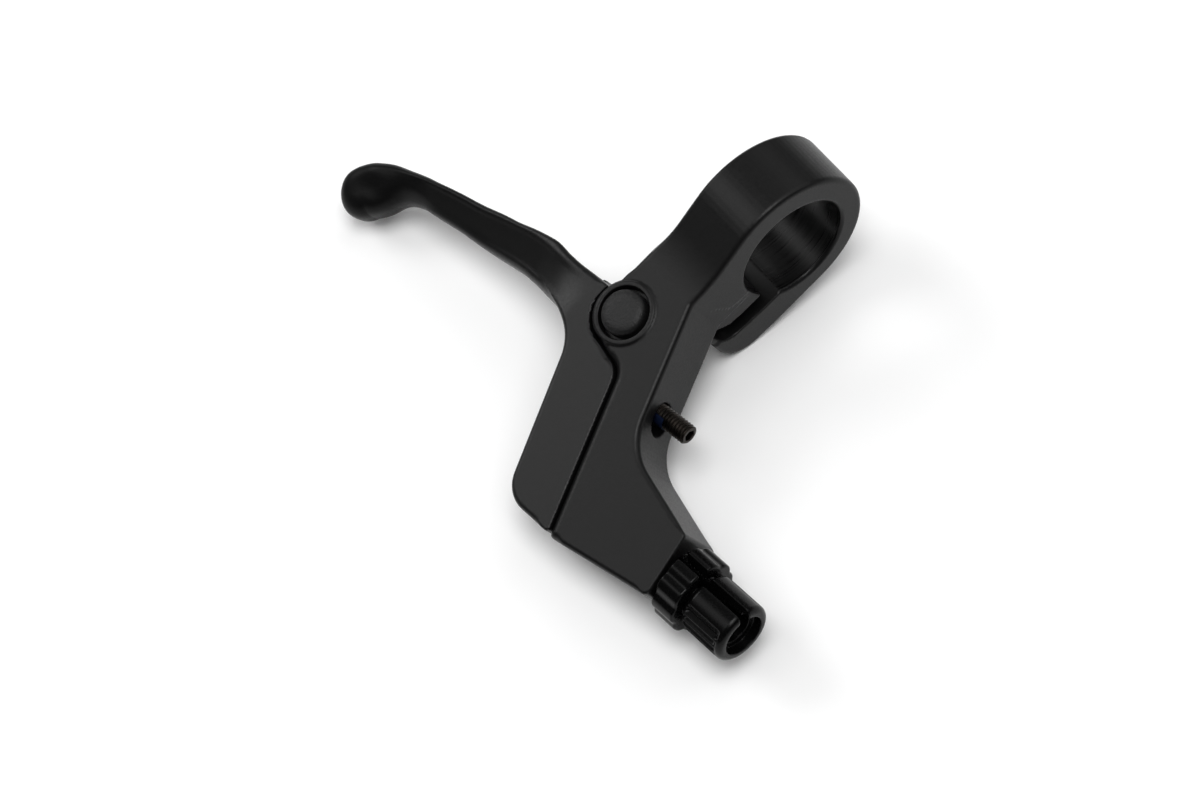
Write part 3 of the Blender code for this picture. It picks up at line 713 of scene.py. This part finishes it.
def bolt_field():
    """The clamp bolt, put in from below, with a hexagon socket in its head."""

    def field(x, y, z):
        away, angle = np.hypot(x, y), np.arctan2(y, x)
        head = thick(away - 4.0, z, BOLT_HEAD_Z - 2.9, BOLT_HEAD_Z, 0.35)
        shank = thread(2.35, away, angle, z, 0.8, 0.4)
        shank = thick(shank, z, BOLT_HEAD_Z - 0.5, 4.4, 0.2)
        socket = np.maximum(hexagon(x, y, 4.0), z - (BOLT_HEAD_Z - 1.1))
        return cut(np.minimum(head, shank), socket, 0.1)

    return field


def wire(name, path, radius, place, sides=12):
    """A round wire along a path, as a closed tube."""
    path = [Vector(p) for p in path]
    points, faces = [], []
    across = Vector((1, 0, 0))
    for i, here in enumerate(path):
        along = (path[min(i + 1, len(path) - 1)] - path[max(i - 1, 0)]).normalized()
        across = (across - along * across.dot(along)).normalized()
        up = along.cross(across)
        for k in range(sides):
            angle = 2 * pi * k / sides
            points.append(here + (across * cos(angle) + up * sin(angle)) * radius)
    for i in range(len(path) - 1):
        for k in range(sides):
            j = (k + 1) % sides
            faces.append([i * sides + k, i * sides + j, (i + 1) * sides + j, (i + 1) * sides + k])
    faces.append(list(range(sides))[::-1])
    faces.append([len(points) - sides + k for k in range(sides)])
    return mesh_piece(name, [tuple(p) for p in points], faces, place=place, smooth_angle=60)


def spring_path():
    """A helix about the pin with one straight leg in the bracket and one in the lever."""
    turns, low, pitch, radius, per_turn = 2.5, 3.1, 1.05, 5.0, 40
    path = [(radius, 0, 0.8), (radius, 0, 1.6), (radius, 0, 2.4)]
    for i in range(round(turns * per_turn) + 1):
        angle = 2 * pi * i / per_turn
        path.append((radius * cos(angle), radius * sin(angle), low + pitch * i / per_turn))
    return path + [(-radius, 0, 6.4), (-radius, 0, 7.3)]


# ------------------------------------------------------------------ materials

def principled(name):
    mat = bpy.data.materials.new(name)
    mat.use_nodes = True
    tree = mat.node_tree
    return mat, tree, tree.nodes["Principled BSDF"]


NOISE_LOW, NOISE_HIGH = 0.3, 0.7  # the range that most of a noise texture lies in


def place_in(tree):
    """Coordinates in the object's own space, in metres."""
    return tree.nodes.new("ShaderNodeTexCoord").outputs["Object"]


def noise(tree, scale, detail=2.0, roughness=0.5):
    node = tree.nodes.new("ShaderNodeTexNoise")
    node.inputs["Scale"].default_value = scale
    node.inputs["Detail"].default_value = detail
    node.inputs["Roughness"].default_value = roughness
    tree.links.new(place_in(tree), node.inputs["Vector"])
    return node.outputs["Fac"]


def between(tree, value, low, high, a=NOISE_LOW, b=NOISE_HIGH):
    """Carries a value from the range a to b over to the range low to high."""
    node = tree.nodes.new("ShaderNodeMapRange")
    for key, number in (("From Min", a), ("From Max", b), ("To Min", low), ("To Max", high)):
        node.inputs[key].default_value = number
    tree.links.new(value, node.inputs["Value"])
    return node.outputs["Result"]


def mixed(tree, value, first, second):
    """A colour from first to second as a noise rises."""
    ramp = tree.nodes.new("ShaderNodeValToRGB")
    ramp.color_ramp.elements[0].position = NOISE_LOW
    ramp.color_ramp.elements[1].position = NOISE_HIGH
    ramp.color_ramp.elements[0].color = (*first, 1)
    ramp.color_ramp.elements[1].color = (*second, 1)
    tree.links.new(value, ramp.inputs["Fac"])
    return ramp.outputs["Color"]


def bump(tree, value, strength, distance):
    node = tree.nodes.new("ShaderNodeBump")
    node.inputs["Strength"].default_value = strength
    node.inputs["Distance"].default_value = distance
    tree.links.new(value, node.inputs["Height"])
    return node.outputs["Normal"]


def within_bore(tree):
    """One inside the clamp's bore and nought elsewhere."""
    flat = tree.nodes.new("ShaderNodeVectorMath")
    flat.operation = "MULTIPLY"
    flat.inputs[1].default_value = (0, 1, 1)
    size = tree.nodes.new("ShaderNodeVectorMath")
    size.operation = "LENGTH"
    tree.links.new(place_in(tree), flat.inputs[0])
    tree.links.new(flat.outputs[0], size.inputs[0])
    edge = (BAR_RADIUS + 0.12) * MM
    return between(tree, size.outputs["Value"], 1, 0, edge, edge + 0.00006)


def along_blade(tree, root, tip):
    """Falls from one value at the blade's root to another near its tip."""
    axes = tree.nodes.new("ShaderNodeSeparateXYZ")
    tree.links.new(place_in(tree), axes.inputs[0])
    return between(tree, axes.outputs["X"], tip, root, -55 * MM, -14 * MM)


def streaks(tree):
    """Fine lines that run round the bore, as a boring tool leaves them."""
    stretch = tree.nodes.new("ShaderNodeMapping")
    stretch.inputs["Scale"].default_value = (3200, 70, 70)
    node = tree.nodes.new("ShaderNodeTexNoise")
    node.inputs["Scale"].default_value = 1.0
    node.inputs["Detail"].default_value = 3.0
    tree.links.new(place_in(tree), stretch.inputs["Vector"])
    tree.links.new(stretch.outputs["Vector"], node.inputs["Vector"])
    return node.outputs["Fac"]


def blend_values(tree, share, first, second, kind="FLOAT"):
    node = tree.nodes.new("ShaderNodeMix")
    node.data_type = kind
    one, two = {"FLOAT": (2, 3), "RGBA": (6, 7)}[kind]
    tree.links.new(share, node.inputs[0])
    tree.links.new(first, node.inputs[one])
    tree.links.new(second, node.inputs[two])
    return node.outputs[0 if kind == "FLOAT" else 2]


COAT_TINT = (1, 1, 1.02)


def coated(name, tone, rough, grain, specular, bored=False, painted_shade_tip=None):
    """Satin paint on cast alloy: a fine pebbled skin over faint cloudiness. Where it is bored,
    bare tool marks show in the bore. Towards the blade's tip the specular level falls, as painted
    shade that darkens the blade."""
    mat, tree, shader = principled(name)
    cloud = noise(tree, 90, 3)
    speck = noise(tree, 2600, 2, 0.6)
    dark, light = [tuple(tone * k * t for t in COAT_TINT) for k in (0.93, 1.08)]
    colour = mixed(tree, cloud, dark, light)
    height, polish = speck, between(tree, speck, rough - 0.05, rough + 0.06)
    if bored:
        inside, lines = within_bore(tree), streaks(tree)
        height = blend_values(tree, inside, speck, lines)
        polish = blend_values(tree, inside, polish, between(tree, lines, 0.24, 0.4))
        marks = mixed(tree, lines, (0.0006, 0.0006, 0.0006), (0.006, 0.006, 0.006))
        colour = blend_values(tree, inside, colour, marks, "RGBA")
    tree.links.new(colour, shader.inputs["Base Color"])
    tree.links.new(polish, shader.inputs["Roughness"])
    relief = bump(tree, height, 0.22 * grain, 0.00004 * max(1.0, grain / 3))
    tree.links.new(relief, shader.inputs["Normal"])
    shader.inputs["Specular IOR Level"].default_value = specular
    # Painted shade: the specular level falls from the root towards the blade's tip, darkening the
    # blade.
    if painted_shade_tip is not None:
        painted_shade_specular = along_blade(tree, specular, painted_shade_tip)
        tree.links.new(painted_shade_specular, shader.inputs["Specular IOR Level"])
    return mat


def metal(name, first, second, rough, scale=500, metallic=1.0, strength=0.1, specular=0.5):
    """Bare or plated metal, and with metallic at nought the plain plastics."""
    mat, tree, shader = principled(name)
    grain = noise(tree, scale, 3)
    tree.links.new(mixed(tree, grain, first, second), shader.inputs["Base Color"])
    tree.links.new(between(tree, grain, rough - 0.06, rough + 0.08), shader.inputs["Roughness"])
    relief = bump(tree, noise(tree, scale * 4, 2), strength, 0.00003)
    tree.links.new(relief, shader.inputs["Normal"])
    shader.inputs["Metallic"].default_value = metallic
    shader.inputs["Specular IOR Level"].default_value = specular
    return mat


# ------------------------------------------------------------------ build

def finish_piece(piece, mat, body, node):
    """Gives a piece its material, sets it on the body that it rides on, and hides the CAD node that
    it stands for.
    """
    piece.data.materials.append(mat)
    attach(piece, body)
    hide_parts(node)


def carry_over(node, mat):
    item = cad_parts[node]
    for slot in item.material_slots:
        slot.material = mat


def build():
    bracket_coat = coated("bracket_coat", 0.0035, 0.38, grain=1.4, specular=0.2, bored=True)
    # The lever's specular level falls towards the blade's tip as painted shade.
    lever_coat = coated("lever_coat", 0.0035, 0.38, grain=1.4, specular=0.25, painted_shade_tip=0.09)
    head_coat = coated("head_coat", 0.006, 0.45, grain=6.0, specular=0.26)
    gloss_coat = coated("gloss_coat", 0.002, 0.24, grain=0.3, specular=0.12)
    oxide = metal("oxide_steel", (0.016, 0.0145, 0.013), (0.040, 0.034, 0.029), 0.36)
    zinc = metal("zinc_steel", (0.42, 0.43, 0.45), (0.55, 0.55, 0.56), 0.34)
    bronze = metal("bronze", (0.36, 0.22, 0.10), (0.48, 0.32, 0.15), 0.4)
    brass = metal("brass", (0.50, 0.38, 0.16), (0.62, 0.48, 0.22), 0.33)
    nylon = metal("nylon", (0.70, 0.69, 0.66), (0.78, 0.77, 0.74), 0.5, metallic=0.0)
    blue = metal("thread_lock", (0.001, 0.003, 0.014), (0.002, 0.007, 0.026), 0.7,
                 scale=900, metallic=0.0, strength=0.6, specular=0.12)

    adjuster_place = lying_place(ADJUSTER_BASE, CABLE_ANGLE)
    bracket = sculpt("bracket", bracket_field(), (-9.2, -69.0, -17.2), (43.5, 18.5, 18.5), 0.4)
    lever = sculpt("lever", lever_field(), (-74.0, -70.0, -5.0), (19.5, -21.5, 14.5), 0.4)
    head = lathe("pivot_head", head_profile(), PIVOT_PLACE)
    barrel = sculpt("barrel", barrel_field(), (-6.5, -6.5, -11.6), (6.5, 6.5, 17.1), 0.2,
                    adjuster_place)
    ring = sculpt("lock_ring", ring_field(), (-8.0, -8.0, -0.6), (8.0, 8.0, 6.2), 0.2,
                  adjuster_place)
    grub = sculpt("reach_grub", reach_field(), (-2.6, -2.6, -16.2), (2.6, 2.6, 0.6), 0.12,
                  lying_place(REACH_TIP, REACH_ANGLE))
    bolt = sculpt("clamp_bolt_threaded", bolt_field(), (-4.6, -4.6, -15.6), (4.6, 4.6, 5.0), 0.17,
                  BOLT_PLACE)
    finish_piece(bracket, bracket_coat, "bracket", "bracket_body")
    finish_piece(lever, lever_coat, "lever", "lever_blade")
    finish_piece(head, head_coat, "bracket", "pivot_pin")
    finish_piece(barrel, gloss_coat, "barrel", "adjuster_barrel")
    finish_piece(ring, gloss_coat, "lock_ring", "adjuster_lock_ring")
    finish_piece(grub, oxide, "reach", "reach_screw")
    finish_piece(bolt, oxide, "bracket", "clamp_bolt")

    spring = wire("torsion_spring", spring_path(), 0.42, PIVOT_PLACE)
    spring.data.materials.append(zinc)
    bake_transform(spring)
    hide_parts("return_spring")

    for nodes, mat in (
        (("pivot_screw",), oxide),
        (("pivot_screw_washer", "anchor_clip", "clamp_washer"), zinc),
        (("pivot_bush",), bronze),
        (("upper_thrust_washer", "lower_thrust_washer"), nylon),
        (("cable_anchor",), brass),
        (("reach_screw_patch",), blue),
    ):
        for node in nodes:
            carry_over(node, mat)


# ------------------------------------------------------------------ camera and light

CAMERA_AIM = (0.00408, -0.04450, -0.006)
CAMERA_DISTANCE = 0.64302
CAMERA_AZIMUTH = -15.065
CAMERA_ELEVATION = 60.396
CAMERA_ROLL = -24.553
LENS = 105.0
FLOOR_Z = cad_low.z

DOME_CENTRE = (0.0, -0.03, 0.0)
DOME_RADIUS = 1.2
SOFTBOX_SIZE = 0.62
SOFTBOXES = [  # azimuth, elevation, power
    (0, 82, 6.6), (0, 62, 3.0), (60, 62, 0.9), (120, 62, 0.9), (-120, 62, 1.7),
    (68, 38, 1.5), (112, 38, 1.4), (-158, 38, 4.7), (158, 14, 1.4),
]


def camera():
    data = bpy.data.cameras.new("camera")
    data.lens = LENS
    data.sensor_width = 36.0
    data.clip_start, data.clip_end = 0.01, 20
    item = bpy.data.objects.new("camera", data)
    bpy.context.collection.objects.link(item)
    a, e = radians(CAMERA_AZIMUTH), radians(CAMERA_ELEVATION)
    back = Vector((cos(a) * cos(e), sin(a) * cos(e), sin(e)))
    level = (-back).to_track_quat("-Z", "Y").to_matrix().to_4x4()
    roll = Matrix.Rotation(radians(CAMERA_ROLL), 4, "Z")
    eye = Vector(CAMERA_AIM) + back * CAMERA_DISTANCE
    item.matrix_world = Matrix.Translation(eye) @ level @ roll
    bpy.context.scene.camera = item


def area_light(name, azimuth, elevation, power):
    """A round softbox on a dome round the object. Azimuth is from +X towards +Y."""
    data = bpy.data.lights.new(name, "AREA")
    data.shape = "DISK"
    data.size = SOFTBOX_SIZE
    data.energy = power
    item = bpy.data.objects.new(name, data)
    bpy.context.collection.objects.link(item)
    a, e = radians(azimuth), radians(elevation)
    out = Vector((cos(a) * cos(e), sin(a) * cos(e), sin(e)))
    item.location = Vector(DOME_CENTRE) + out * DOME_RADIUS
    item.rotation_euler = out.to_track_quat("Z", "Y").to_euler()


def floor():
    size = 3.0
    mesh = bpy.data.meshes.new("floor")
    corners = [(-size, -size), (size, -size), (size, size), (-size, size)]
    mesh.from_pydata([(x, y, FLOOR_Z - 0.0001) for x, y in corners], [], [[0, 1, 2, 3]])
    mat, tree, shader = principled("floor_white")
    paper = mixed(tree, noise(tree, 40, 2), (0.955, 0.955, 0.955), (0.965, 0.965, 0.965))
    tree.links.new(paper, shader.inputs["Base Color"])
    shader.inputs["Roughness"].default_value = 0.9
    shader.inputs["Specular IOR Level"].default_value = 0.1
    mesh.materials.append(mat)
    item = bpy.data.objects.new("floor", mesh)
    bpy.context.collection.objects.link(item)


def light_up():
    world = bpy.data.worlds.new("studio")
    world.use_nodes = True
    background = world.node_tree.nodes["Background"]
    background.inputs["Color"].default_value = (1, 1, 1, 1)
    background.inputs["Strength"].default_value = 0.03
    scene = bpy.context.scene
    scene.world = world
    scene.view_settings.view_transform = "Standard"
    scene.view_settings.exposure = 0.0
    for k, (azimuth, elevation, power) in enumerate(SOFTBOXES):
        area_light(f"softbox_{k}", azimuth, elevation, power)


camera()
build()
floor()
light_up()
